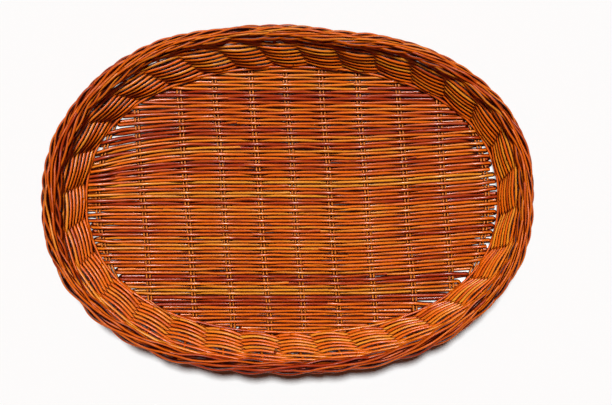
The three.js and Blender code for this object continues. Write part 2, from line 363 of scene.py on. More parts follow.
def spliced(rng, line, half, shortest, longest, shade, spread):
    """Cuts a long line into rods that overlap, each with its own taper and shade."""
    lap, slope = 7 * MM, 16 * MM
    run = run_of(line)
    cuts = [0.0]
    while run[-1] - cuts[-1] > longest:
        cuts.append(cuts[-1] + rng.uniform(shortest, longest))
    cuts.append(run[-1])
    rods = []
    for number, (start, end) in enumerate(zip(cuts, cuts[1:])):
        first, last = number == 0, number == len(cuts) - 2
        start, end = start - (not first) * lap, end + (not last) * lap
        inside = (run >= start) & (run <= end)
        part, place = line[inside].copy(), run[inside]
        share = (place - start) / (end - start)
        if rng.random() < 0.5:
            share = 1 - share
        # A new rod starts over the thin end of the last one
        over = 0 if first else 1 - smooth((place - start) / slope)
        under = 0 if last else 1 - smooth((end - place) / slope)
        part[:, 2] += half * (0.35 * over - 0.65 * under)
        part[:, 1] += half * (0.25 * over - 0.25 * under)
        taper, thin_end = 1.04 - 0.1 * share, 1 - 0.22 * np.asarray(under)
        thick = half * rng.uniform(0.94, 1.04) * taper * thin_end
        tone = rng.normal(shade, spread) + sway(rng, place, 0.4, 0.07) + 0.08 * (share - 0.5)
        rods.append(Rod(part, thick, tone))
    return rods


# Finishes

def put(tree, node, values):
    """Puts links or plain values into a node's sockets, by their names or places."""
    for name, value in values.items():
        if isinstance(value, bpy.types.NodeSocket):
            tree.links.new(value, node.inputs[name])
        else:
            node.inputs[name].default_value = value


def add_node(tree, kind, values=None, **settings):
    """Adds a shader node with these settings, and puts values into its sockets."""
    node = tree.nodes.new("ShaderNode" + kind)
    for name, value in settings.items():
        setattr(node, name, value)
    put(tree, node, values or {})
    return node


def maths(tree, operation, *values, clamp=False):
    values = dict(enumerate(values))
    return add_node(tree, "Math", values, operation=operation, use_clamp=clamp).outputs[0]


def blend(tree, factor, first, second):
    """Mixes two colours."""
    values = {0: factor, 6: first, 7: second}
    return add_node(tree, "Mix", values, data_type="RGBA").outputs[2]


def spread_out(tree, value, low, high, to_low=0.0, to_high=1.0):
    """Eases a value from one range to another."""
    values = dict(enumerate((value, low, high, to_low, to_high)))
    return add_node(tree, "MapRange", values, interpolation_type="SMOOTHSTEP").outputs[0]


def coordinates(tree, kind):
    """The texture coordinates of the given kind, apart as X, Y and Z."""
    where = add_node(tree, "TexCoord").outputs[kind]
    return add_node(tree, "SeparateXYZ", {0: where}).outputs


def pattern(tree, kind, place, along, across, **values):
    """A texture on a rod's own length and turn, with its own fineness along and across."""
    mapping = add_node(tree, "Mapping", {"Vector": place, "Scale": (along, across, across)})
    return add_node(tree, kind, {"Vector": mapping.outputs[0], "Scale": 1.0, **values}).outputs


def rod_noise(tree, place, along, across, detail=2.0):
    return pattern(tree, "TexNoise", place, along, across, Detail=detail)["Fac"]


def rod_value(tree, name):
    """A value that the rods' points carry."""
    return add_node(tree, "Attribute", attribute_name=name).outputs["Fac"]


def rod_place(tree):
    """A place on the rod: metres along it, and its turn as a circle, so that no seam shows."""
    rod_uv = add_node(tree, "UVMap", uv_map="rod_uv").outputs[0]
    apart = add_node(tree, "SeparateXYZ", {0: rod_uv}).outputs
    turn = maths(tree, "MULTIPLY", apart["Y"], TAU)
    circle = {"Y": maths(tree, "COSINE", turn), "Z": maths(tree, "SINE", turn)}
    return add_node(tree, "CombineXYZ", {"X": apart["X"], **circle}).outputs[0]


def willow_bark():
    """Node group: colour, dullness and relief of a varnished willow rod."""
    fleck_tone, bud_tone = (0.10, 0.018, 0.004, 1), (0.07, 0.014, 0.004, 1)
    # Colours of the painted shade on the rods' flanks
    red_painted_shade, dark_painted_shade = (0.26, 0.014, 0.0006, 1), (0.02, 0.001, 0.0002, 1)
    tree = bpy.data.node_groups.new("willow_bark", "ShaderNodeTree")
    for way, kind, names in (
        ("INPUT", "NodeSocketColor", ("Red Rod", "Orange Rod", "Golden Rod")),
        ("INPUT", "NodeSocketFloat", ("Streaks", "Dullness")),
        ("OUTPUT", "NodeSocketColor", ("Colour",)),
        ("OUTPUT", "NodeSocketFloat", ("Roughness", "Relief")),
    ):
        for name in names:
            tree.interface.new_socket(name, in_out=way, socket_type=kind)
    given = tree.nodes.new("NodeGroupInput").outputs
    place = rod_place(tree)

    # Shade: the rod's own, with long streaks and fine grain
    streak = maths(tree, "SUBTRACT", rod_noise(tree, place, along=28, across=1.1), 0.5)
    grain = maths(tree, "SUBTRACT", rod_noise(tree, place, along=70, across=4.5), 0.5)
    strong, weak = maths(tree, "MULTIPLY", streak, 1.3), maths(tree, "MULTIPLY", grain, 0.9)
    uneven = maths(tree, "ADD", strong, weak)
    shade = maths(tree, "MULTIPLY_ADD", uneven, given["Streaks"], rod_value(tree, "rod_shade"))
    tone = blend(tree, spread_out(tree, shade, 0.0, 0.5), given["Red Rod"], given["Orange Rod"])
    tone = blend(tree, spread_out(tree, shade, 0.5, 1.0), tone, given["Golden Rod"])

    # Dark bark flecks and the buds that were trimmed off
    fleck = rod_noise(tree, place, along=45, across=1.6, detail=4.0)
    fleck = spread_out(tree, fleck, 0.57, 0.72)
    buds = pattern(tree, "TexVoronoi", place, along=22, across=0.55)["Distance"]
    bud = spread_out(tree, buds, 0.13, 0.05)
    tone = blend(tree, maths(tree, "MULTIPLY", fleck, 0.55), tone, fleck_tone)
    tone = blend(tree, maths(tree, "MULTIPLY", bud, 0.7), tone, bud_tone)

    # Painted shade on the flanks: red first, then almost black
    painted_shade = rod_value(tree, "rod_painted_shade")
    tone = blend(tree, spread_out(tree, painted_shade, 0.0, 0.7, 0.0, 0.85), tone, red_painted_shade)
    tone = blend(tree, spread_out(tree, painted_shade, 0.3, 1.0, 0.0, 0.95), tone, dark_painted_shade)

    dull = maths(tree, "MULTIPLY_ADD", grain, 0.35, given["Dullness"])
    dull = maths(tree, "MULTIPLY_ADD", fleck, 0.15, dull, clamp=True)
    ridged = maths(tree, "MULTIPLY_ADD", grain, 0.8, maths(tree, "MULTIPLY", bud, 0.9))
    result = tree.nodes.new("NodeGroupOutput")
    put(tree, result, {"Colour": tone, "Roughness": dull, "Relief": ridged})
    return tree


def new_material(name):
    """A new material, with its node tree and its shader."""
    material = bpy.data.materials.new(name)
    material.use_nodes = True
    return material, material.node_tree, material.node_tree.nodes["Principled BSDF"]


def willow(name, red, orange, golden, streaks, dullness, gloss, varnish):
    """A varnished willow finish, with the bark group's pattern and its own colours."""
    _, tree, shader = new_material(name)
    group = bpy.data.node_groups.get("willow_bark") or willow_bark()
    tones = {"Red Rod": (*red, 1), "Orange Rod": (*orange, 1), "Golden Rod": (*golden, 1)}
    values = {**tones, "Streaks": streaks, "Dullness": dullness}
    bark = add_node(tree, "Group", values, node_tree=group).outputs
    relief = {"Height": bark["Relief"], "Strength": 0.5, "Distance": 0.25 * MM}
    put(tree, shader, {
        "Base Color": bark["Colour"],
        "Roughness": bark["Roughness"],
        "Normal": add_node(tree, "Bump", relief).outputs[0],
        "Specular IOR Level": gloss,
        "Coat Weight": varnish,
        "Coat Roughness": 0.17,
    })


def cut_willow(tone):
    """The pale wood of a cut end, darker in blotches."""
    _, tree, shader = new_material("cut_willow")
    where = add_node(tree, "TexCoord").outputs["Object"]
    noise = add_node(tree, "TexNoise", {"Vector": where, "Scale": 900}).outputs["Fac"]
    dark = tuple(0.45 * part for part in tone)
    blotches = blend(tree, spread_out(tree, noise, 0.35, 0.65), (*tone, 1), (*dark, 1))
    put(tree, shader, {"Base Color": blotches, "Roughness": 0.7})


# Floor

class Stick:
    """A doubled stick of the floor: where its middle lies at each y, and how far it reaches."""

    LEAN = math.tan(math.radians(4.3))
    WAVER, WAVER_LENGTH = 0.5 * MM, 21 * MM

    def __init__(self, node, sizes, rng):
        low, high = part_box(node)
        half = sizes.stick_rod + ROD_GAP
        self.node, self.low, self.high = node, low.y, high.y
        self.phase = rng.uniform(0, TAU)
        self.edge = (high.x > 0) - (high.x < 0) if "edge" in node else 0
        if self.edge:
            self.middle = (high.x if self.edge > 0 else low.x) - self.edge * half
            self.bow = high.x - low.x - 2 * half
        else:
            self.middle = (low.x + high.x) / 2

    def x_at(self, y):
        if self.edge:
            return self.middle - self.edge * self.bow * (y / self.high) ** 2
        waver = self.WAVER * np.sin(y / self.WAVER_LENGTH + self.phase)
        return self.middle - y * self.LEAN + waver


def floor_sticks(sizes):
    rng = seeded("stick places")
    nodes = ["left_edge_stick_pair"]
    nodes += [f"floor_stick_pair_{k:02d}" for k in range(1, 10)]
    nodes.append("right_edge_stick_pair")
    return [Stick(node, sizes, rng) for node in nodes]


class Floor:
    """The rows of the floor, which run along X over and under the doubled sticks."""

    SWING, END_SWING = 0.82, 0.55  # shares of the full swing, in a row and at its ends
    CLIMB, CLIMB_FROM, CLIMB_RUN = 9 * MM, 0.055, 0.135  # towards the right end
    DROOP, DROOP_FROM, DROOP_RUN = 14 * MM, 0.07, 0.11  # towards the upper left
    DROOP_AT, DROOP_WIDTH = 0.052, 0.033
    PARTINGS, PARTING = 22, 0.75 * MM  # where rows were pushed apart, and how far
    PARTING_LENGTH, PARTING_WIDTH = 0.011, 0.004
    POINT_GAP = 2.3 * MM
    WALL_GAP = 1.8 * MM  # from the rows' turns to the base oval
    BEFORE_STICK, PAST_STICK = 4.6 * MM, 4.8 * MM  # from a turn to the middle of a stick
    PULL_LENGTH = 18 * MM
    ROUND_TURN = 1.7 * MM  # least reach of a turn

    def __init__(self, layout):
        rng = seeded("partings")
        self.layout, self.sizes = layout, layout.sizes
        self.sticks = floor_sticks(layout.sizes)
        self.swing = self.SWING * (self.sizes.stick_rod + self.sizes.floor_rod) / 2
        self.partings = np.column_stack(
            [rng.uniform(-reach, reach, self.PARTINGS) for reach in (0.17, 0.10)]
        )

    def row_y(self, row, x):
        """Where a row lies at x: the rows climb to the right, and droop at the upper left."""
        y = ((FLOOR_ROWS - 1) / 2 - row) * self.sizes.row_pitch + 0 * x
        # The climb fades out towards the front and the back
        climbing = smooth((y + 0.118) / 0.05) * (1 - smooth((y - 0.040) / 0.055))
        to_right = np.clip((x - self.CLIMB_FROM) / self.CLIMB_RUN, 0, None)
        lifted = self.CLIMB * to_right**1.3 * climbing
        to_left = np.clip((-x - self.DROOP_FROM) / self.DROOP_RUN, 0, None)
        sunk = self.DROOP * to_left**2 * hump(y - self.DROOP_AT, self.DROOP_WIDTH)
        pushed = 0 * x
        for px, py in self.partings:
            beside, above = (x - px) / self.PARTING_LENGTH, y - py
            fade = np.exp(-(beside**2) - np.abs(above) / self.PARTING_WIDTH)
            pushed += self.PARTING * np.sign(above) * fade
        return y + lifted - sunk + pushed

    def y_at(self, row, x):
        return self.row_y(row, np.array([x]))[0]

    def tip(self, rows, end, rng):
        """How far out these rows turn back: inside the wall, and clear of the sticks there."""
        middle, reach = self.sizes.floor_set_off, []
        for row in rows:
            x = np.array([middle + end * 0.15])
            for _ in range(6):
                half = self.layout.base.half_length_at(self.row_y(row, x))
                x = middle + end * (half - self.WALL_GAP)
            reach.append(end * x[0])
        x = end * (min(reach) - rng.uniform(0, 2.2) * MM)
        y = self.y_at(rows[0], x)
        # At the right and at the lower left the rows stop short of the wall
        short = abs(y + 0.012) < 0.066 if end > 0 else abs(y + 0.048) < 0.026
        shorter = 2.6 * (end < 0 and abs(y + 0.055) < 0.016)
        x -= end * short * (rng.uniform(2.0, 4.6) + shorter) * MM
        for stick in self.sticks if end < 0 else self.sticks[::-1]:
            at = stick.x_at(y)
            near = -self.BEFORE_STICK < end * (x - at) < self.PAST_STICK
            if stick.low < y < stick.high and near:
                beyond = end * at + self.PAST_STICK
                fits = beyond < min(reach) + 1.6 * MM
                x = end * beyond if fits else at - end * self.PAST_STICK
        return x

    def row(self, row, left, right, pulls):
        """One row, from tip to tip. pulls draw its ends towards the rows that they join."""
        rng = seeded("rows", row)
        x = np.linspace(left, right, max(int((right - left) / self.POINT_GAP), 8))
        # Rows lie in pairs, pressed together more in some places than in others
        pressed = 0.12 * MM + sway(seeded("row pairs", row // 2), x, 0.13, 0.16 * MM)
        paired = (1 if row % 2 else -1) * pressed
        y = self.row_y(row, x) + paired + sway(rng, x, 0.11, 0.16 * MM)
        places, heights = [], []
        for number, stick in enumerate(self.sticks):
            at = stick.x_at(self.y_at(row, stick.middle))
            if stick.low < self.y_at(row, at) < stick.high and left < at < right:
                places.append(at)
                heights.append(self.swing if (row + number) % 2 == 0 else -self.swing)
        if not places:
            places, heights = [left, right], [0.0, 0.0]
        first, last = self.END_SWING * heights[0], self.END_SWING * heights[-1]
        places, heights = np.array([left, *places, right]), np.array([first, *heights, last])
        span = np.clip(np.searchsorted(places, x, side="right") - 1, 0, len(places) - 2)
        start, stop = places[span], places[span + 1]
        share = smooth((x - start) / np.maximum(stop - start, 1e-6))
        z = heights[span] + (heights[span + 1] - heights[span]) * share
        z += sway(rng, x, 0.09, 0.3 * MM)
        for end, tip in ((-1, left), (1, right)):
            if end in pulls:
                y += pulls[end] * smooth(1 - np.abs(x - tip) / self.PULL_LENGTH)
        return np.column_stack([x, y, self.layout.stick_z + z])

    def row_ends(self, rows, rng):
        """Where each row's ends are, and how far the ends that join are drawn together."""
        tips, pulls = {}, {row: {} for row in rows}
        for place, row in enumerate(rows):
            for end in (-1, 1):
                turns = (place % 2 == 0) == (end > 0) and place + 1 < len(rows)
                if turns:
                    joins = rows[place + 1]
                    x = self.tip([row, joins], end, rng)
                    gap = self.y_at(joins, x) - self.y_at(row, x)
                    drawn = rng.uniform(0.0, 0.08) + 0.26 * (rng.random() < 0.4)
                    pulls[row][end], pulls[joins][end] = gap * drawn, -gap * drawn
                    tips[row, end] = tips[joins, end] = x
                elif (row, end) not in tips:
                    tips[row, end] = self.tip([row], end, rng)
        return tips, pulls

    def weaver(self, number):
        """The line of one floor weaver: along a row, round the end, and back along the next."""
        rows = list(range(number * ROWS_EACH, (number + 1) * ROWS_EACH))
        tips, pulls = self.row_ends(rows, seeded("turns", number))
        turn = np.linspace(0, np.pi, 9)[1:-1, None]
        line = []
        for place, row in enumerate(rows):
            points = self.row(row, tips[row, -1], tips[row, 1], pulls[row])
            points = points[:: -1 if place % 2 else 1]
            if place:
                start, stop = line[-1][-1], points[0]
                middle, half = (start + stop) / 2, (start - stop) / 2
                out = max(np.linalg.norm(half), self.ROUND_TURN) * (1 if place % 2 else -1)
                line.append(middle + half * np.cos(turn) + np.array([out, 0, 0]) * np.sin(turn))
            line.append(points)
        return np.concatenate(line)


class WeaveFoot(bpy.types.Operator):
    """Weaves the foot wale, three rods twisted round the bottom edge"""

    bl_idname = "basket.weave_foot"
    bl_label = "Weave Foot Wale"

    STRANDS, TURNS = 3, 11
    SET_IN = 3 * MM  # from the CAD ring's outline
    REACH, LIFT = 2.1 * MM, 0.72 * MM  # of a strand, sideways and up
    POINT_GAP = 2.2 * MM

    def execute(self, context):
        sizes = context.scene.basket_sizes
        rng = seeded("foot")
        low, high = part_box("foot_wale")
        halves = [(high[k] - low[k]) / 2 - self.SET_IN for k in (0, 1)]
        oval = Oval(*halves, sizes.fullness, sizes.floor_set_off)
        share = np.linspace(0, 1.012, int(oval.length / self.POINT_GAP))
        rods = []
        for strand in range(self.STRANDS):
            turn = TAU * (self.TURNS * share + strand / self.STRANDS)
            flat = oval.at(share) + oval.outward(share) * (self.REACH * np.cos(turn))[:, None]
            line = np.column_stack([flat, (high.z + low.z) / 2 + self.LIFT * np.sin(turn)])
            start = int(strand * len(share) / self.STRANDS)
            line = np.concatenate([line[start:], line[:start]])[: len(share) - 4]
            half = sizes.foot_rod / 2
            rods += spliced(rng, line, half, shortest=0.3, longest=0.5, shade=0.42, spread=0.2)
        make_piece("foot_wale", rods, "foot_willow", rng)
        return {"FINISHED"}


class LaySticks(bpy.types.Operator):
    """Lays the doubled sticks that the floor is woven on"""

    bl_idname = "basket.lay_sticks"
    bl_label = "Lay Floor Sticks"

    POINTS = 90
    APART = 1.55 * MM  # from the pair's middle to each rod's

    def execute(self, context):
        sizes = context.scene.basket_sizes
        layout = Layout(sizes)
        rng = seeded("sticks")
        for stick in floor_sticks(sizes):
            rods = []
            for half in (-1, 1):
                y = np.linspace(stick.low, stick.high, self.POINTS)
                x = stick.x_at(y) + half * (self.APART + sway(rng, y, 0.12, 0.25 * MM))
                z = layout.stick_z + sway(rng, y, 0.15, 0.15 * MM)
                taper = 1 + 0.08 * half * (y - y.mean()) / (y[-1] - y[0])
                shade = rng.normal(0.62, 0.14) + sway(rng, y, 0.2, 0.08)
                line = np.column_stack([x, y, z])
                rods.append(Rod(line, sizes.stick_rod / 2 * taper, shade))
            make_piece(stick.node, rods, "stick_willow", rng)
        return {"FINISHED"}


class WeaveFloor(bpy.types.Operator):
    """Weaves the floor, row by row, over and under the doubled sticks"""

    bl_idname = "basket.weave_floor"
    bl_label = "Weave Floor"

    LOOSE_IN = 6  # the weaver with the loose end
    END_FROM, END_RUN, END_REDDER = 0.08, 0.06, 0.1

    def execute(self, context):
        sizes = context.scene.basket_sizes
        floor = Floor(Layout(sizes))
        for number in range(FLOOR_WEAVERS):
            rng = seeded("floor", number)
            # The outer weavers, near the back and front walls, are darker: painted shade from the
            # walls
            shade = 0.38 + 0.11 * math.sin(math.pi * (number + 1) / (FLOOR_WEAVERS + 1))
            line, half = floor.weaver(number), sizes.floor_rod / 2
            rods = spliced(rng, line, half, shortest=0.35, longest=0.8, shade=shade, spread=0.24)
            # Painted shade: the rods are a little darker and redder towards the floor's ends, next
            # to the walls
            for rod in rods:
                away = np.abs(rod.line[:, 0] - sizes.floor_set_off)
                end = smooth((away - self.END_FROM) / self.END_RUN)
                rod.shade = np.clip(rod.shade - self.END_REDDER * end, 0, 1)
            if number == self.LOOSE_IN:
                rods.append(self.loose_end())
            node = f"floor_weaver_{number + 1:02d}"
            make_piece(node, rods, "floor_willow", rng, unshaded=0.63)
        return {"FINISHED"}

    def loose_end(self):
        """A thin tip that has come out at the lower left, along the foot of the wall."""
        share = np.linspace(0, 1, 24)
        bend = 1.5 * MM * np.sin(np.pi * share)
        x = -0.131 + 0.033 * share
        y = -0.0955 - 0.0205 * share - bend
        z = 0.0185 - 5 * MM * share + bend
        return Rod(np.column_stack([x, y, z]), 1.0 * MM * (1 - 0.45 * share), 0.75)


# Wall and border

class SetStakes(bpy.types.Operator):
    """Sets the stakes, two to a rod that is bent like a U"""

    bl_idname = "basket.set_stakes"
    bl_label = "Set Stakes"

    BELOW_BORDER = 7 * MM
    BEND = 5 * MM  # radius of the U's bends
    UP_POINTS, BEND_POINTS, ACROSS_POINTS = 20, 7, 10

    def execute(self, context):
        sizes = context.scene.basket_sizes
        layout = Layout(sizes)
        rng = seeded("stakes")
        up = np.linspace(layout.wall_height - self.BELOW_BORDER, self.BEND, self.UP_POINTS)
        turn = np.linspace(0, np.pi / 2, self.BEND_POINTS)[1:]
        height = np.concatenate([up, self.BEND * (1 - np.sin(turn))])
        height = np.concatenate([height, np.zeros(self.ACROSS_POINTS - 2), height[::-1]])
        width = self.BEND / layout.stake_pitch
        for pair in range(STAKES // 2):
            here = 2 * pair
            place = np.full(self.UP_POINTS, float(here))
            place = np.concatenate([place, here + width * (1 - np.cos(turn))])
            across = np.linspace(here + width, here + 1 - width, self.ACROSS_POINTS)[1:-1]
            place = np.concatenate([place, across, (2 * here + 1 - place)[::-1]])
            run = np.arange(len(place)) * 3 * MM
            line, face = layout.wall(place, height, sway(rng, run, 0.1, 0.15 * MM))
            half = sizes.stake_rod / 2 * rng.uniform(0.94, 1.03)
            rods = [Rod(line, half, rng.normal(0.4, 0.15), face)]
            make_piece(f"stake_pair_{pair + 1:02d}", rods, "stake_willow", rng)
        return {"FINISHED"}


class WeaveWall(bpy.types.Operator):
    """Weaves the wall: each rod loops round a stake, and both its halves climb round the basket"""

    bl_idname = "basket.weave_wall"
    bl_label = "Weave Wall"

    FIRST, RISE = 4.2 * MM, 2.55 * MM  # height of the first stroke, and of each step
    SWING = 0.84  # share of the full swing
    TAIL = 3.3  # steps that its ends go on under the border
    STEP_POINTS, TURN_POINTS = 18, 9
    STUB_IN = 11  # the weaver with the cut stub

    def execute(self, context):
        layout = Layout(context.scene.basket_sizes)
        for weaver in range(STAKES // 2):
            rng = seeded("wall", weaver)
            start = 2 * weaver
            rods = [self.climbing_rod(layout, rng, start)]
            rods += [self.filler(layout, rng, start, side) for side in (-1, 1)]
            rods.append(self.loop_rod(layout, rng, start))
            if weaver == self.STUB_IN:
                rods.append(self.cut_stub(layout))
            node = f"wall_weaver_{weaver + 1:02d}"
            make_piece(node, rods, "wall_willow", rng, one_faced=True, unshaded=0.52)
        return {"FINISHED"}

    def swing_and_loop(self, layout):
        """How far a rod moves in and out, and how far past its stake the loop reaches."""
        swing = self.SWING * (layout.sizes.stake_rod + layout.sizes.wall_rod) / 2
        return swing, swing / layout.stake_pitch

    def climbing_rod(self, layout, rng, start):
        """The long rod: down along one half, round its stake, and up along the other half."""
        swing, loop = self.swing_and_loop(layout)
        up = np.arange(-1, STROKES + self.TAIL, 1 / self.STEP_POINTS)
        down = up[::-1]
        turn = np.linspace(0, np.pi, self.TURN_POINTS)[1:-1]
        on = up[up >= -1e-9]
        steps = np.concatenate([down, -1 + turn / np.pi, on])
        place = np.concatenate([start + 1 + down, start - loop * np.sin(turn), start + on])
        out = np.concatenate([-np.cos(np.pi * down), np.cos(turn), -np.cos(np.pi * on)])
        run = np.arange(len(steps)) * 2 * MM
        climb = steps - 0.1 * np.clip(steps - STROKES, 0, None) ** 1.3
        height = self.FIRST + self.RISE * climb + sway(rng, run, 0.16, 0.3 * MM)
        # Above the stakes' tops the rods lie close under the border
        closing = smooth((steps - STROKES + 2.5) / 2.5)
        out *= 1 - 0.62 * closing
        set_in = 0.6 * MM * np.exp(-(steps + 1) / 2.5)
        out = out * swing - set_in + sway(rng, run, 0.12, 0.25 * MM)
        out += 0.9 * MM * smooth((steps - STROKES - 0.4) / 1.1) - 0.3 * MM * closing
        line, face = layout.wall(place, height, out)
        share = np.abs(steps + 1) / (STROKES + 1)
        half = layout.sizes.wall_rod / 2 * rng.uniform(0.95, 1.04) * (1.05 - 0.13 * share)
        half *= 1 + sway(rng, run, 0.07, 0.03)
        side = np.sign(np.arange(len(steps)) - len(up))
        tone = rng.normal(0.50, 0.12) + 0.08 * side * rng.normal() + 0.1 * share
        tone += sway(rng, run, 0.3, 0.08)
        return Rod(line, half, tone, self.seen_from(face, out / swing - closing))

    def loop_rod(self, layout, rng, start):
        """A short rod that takes the loop's stroke on, on the other side of its stake."""
        swing, loop = self.swing_and_loop(layout)
        steps = np.linspace(-0.8, -1.1 * loop, 16)
        out = -np.cos(np.pi * steps)
        line, face = layout.wall(start + steps, self.FIRST + self.RISE * steps, out * swing)
        half, tone = layout.sizes.wall_rod / 2, rng.normal(0.5, 0.12)
        return Rod(line, half, tone, self.seen_from(face, out))

    def seen_from(self, outward, out):
        """The way that a stroke is seen from, whose side is kept free of painted shade: in or out
        by its place, and from above.
        """
        out = np.clip(out, -1, 1)[:, None]
        return unit(outward * out + (0, 0, 1) * (1.15 - 0.35 * out))

    def filler(self, layout, rng, start, side):
        """A short rod that closes the wall's foot, inside or outside the stakes."""
        share = np.linspace(0, 1, 30)
        place, height = start - 1.3 + 2.5 * share, (-0.5 + 1.8 * share) * MM
        line, face = layout.wall(place, height, np.full(30, 2.9 * side * MM))
        half, tone = 1.45 * MM * (1.04 - 0.12 * share), rng.normal(0.4, 0.15)
        return Rod(line, half, tone, self.seen_from(face, np.full(30, side)))

    def cut_stub(self, layout):
        """A rod's end that was cut off short on the inside of the front wall."""
        share = np.linspace(0, 1, 6)
        height, out = 30 * MM + 2.0 * MM * share, 1.0 * MM - 6.8 * MM * share
        line, _ = layout.wall(23.31 + 0.05 * share, height, out)
        return Rod(line, 1.4 * MM, 0.15)


class LayBorder(bpy.types.Operator):
    """Lays the border: strands that roll like a rope round a core, over the tops of the stakes"""

    bl_idname = "basket.lay_border"
    bl_label = "Lay Border"

    CORE_STRANDS, CORE_TURNS, CORE_POINTS = 3, 14, 560
    CORE_REACH, CORE_HALF = 1.8 * MM, 1.7 * MM
    TURNS = 3  # of a border rod round the core, on its way round the rim
    WAVES = 26  # times that it dives under its neighbours on its way round
    REACH, DIVE = 4.5 * MM, 1.35 * MM
    LENGTHS = 5  # rods to a strand, end to end
    LAP = 0.008  # share of the rim that two ends share
    TUCK = 26 * MM  # length over which an end is tucked in
    POINT_GAP = 2.0 * MM
    # Painted shade: the front of the border, which faces away from the light, is made darker
    FRONT, FRONT_WIDTH, FRONT_DARKER = 0.75, 0.12, 0.34
    SWELL_SPREAD = 0.4

    def execute(self, context):
        layout = Layout(context.scene.basket_sizes)
        rng = seeded("border")
        core = []
        for strand in range(self.CORE_STRANDS):
            turned = strand / self.CORE_STRANDS
            share = np.linspace(turned, turned + 0.995, self.CORE_POINTS)
            line, face = self.twisted(layout, share, turned, self.CORE_TURNS, self.CORE_REACH)
            core.append(Rod(line, self.CORE_HALF, rng.normal(0.35, 0.1), face))
        make_piece("border_core", core, "stake_willow", rng, one_faced=True)
        for strand in range(BORDER_STRANDS):
            ends = self.LENGTHS + 1
            cuts = (np.arange(ends) + rng.uniform(-0.2, 0.2, ends) + strand * 0.37) / self.LENGTHS
            cuts[-1] = cuts[0] + 1
            spans = zip(cuts, cuts[1:])
            rods = [self.rolled_rod(layout, rng, strand, start, end) for start, end in spans]
            # Second rods lie beside it at both ends, the back, and between left end and back
            for middle in np.array([0.475, 0.0, 0.22, 0.37]) + rng.uniform(-0.05, 0.05, 4):
                start, end = middle + rng.uniform(0.06, 0.11) * np.array([-1, 1])
                rods.append(self.rolled_rod(layout, rng, strand + 0.5, start, end))
            node = f"border_rod_{strand + 1:02d}"
            make_piece(node, rods, "border_willow", rng, one_faced=True)
        return {"FINISHED"}

    def rolled_rod(self, layout, rng, number, start, end):
        """A length of border rod, which dives under its neighbours, tucked in at both ends."""
        start, end = start - self.LAP, end + self.LAP
        points = int((end - start) * layout.rim.length / self.POINT_GAP)
        share = np.linspace(start, end, points)
        run = (share - start) * layout.rim.length
        tuck = np.minimum(smooth(run / self.TUCK), smooth((run[-1] - run) / self.TUCK))
        beat = TAU * (self.WAVES * share + 0.75 * number) + sway(rng, run, 0.3, 0.6)
        reach = self.REACH * (0.5 + 0.5 * tuck) * (1 + sway(rng, run, 0.13, 0.05))
        reach += self.DIVE * tuck * np.cos(beat)
        phase = number / BORDER_STRANDS - 0.015 * np.sin(beat) + sway(rng, run, 0.16, 0.025)
        line, face = self.twisted(layout, share, phase, self.TURNS, reach)
        taper = 1.04 - 0.14 * (run / run[-1] if rng.random() < 0.5 else 1 - run / run[-1])
        half = layout.sizes.border_rod / 2 * rng.uniform(0.92, 1.06) * taper
        half *= 1 + sway(rng, run, 0.08, 0.04)
        # The front rods get a darker tone, as painted shade
        front = hump(share % 1 - self.FRONT, self.FRONT_WIDTH)
        tone = rng.normal(0.5, 0.18) - self.FRONT_DARKER * front
        return Rod(line, half, tone + sway(rng, run, 0.25, 0.08), face)

    def twisted(self, layout, share, phase, turns, reach):
        """A strand that turns round the middle of the border: out, over the top, then in."""
        angle = TAU * (turns * share + phase)
        level = layout.rim.outward(share) * np.cos(angle)[:, None]
        # The side kept free of painted shade: outwards from the core, and tilted up
        face = unit(np.column_stack([level, np.sin(angle) + 0.7]))
        wide = (1 + self.SWELL_SPREAD * layout.swell(share))[:, None]
        spread = np.column_stack([level * wide, np.sin(angle)])
        return layout.rim_line(share) + spread * np.broadcast_to(reach, len(share))[:, None], face


# Stage, finishes and panel

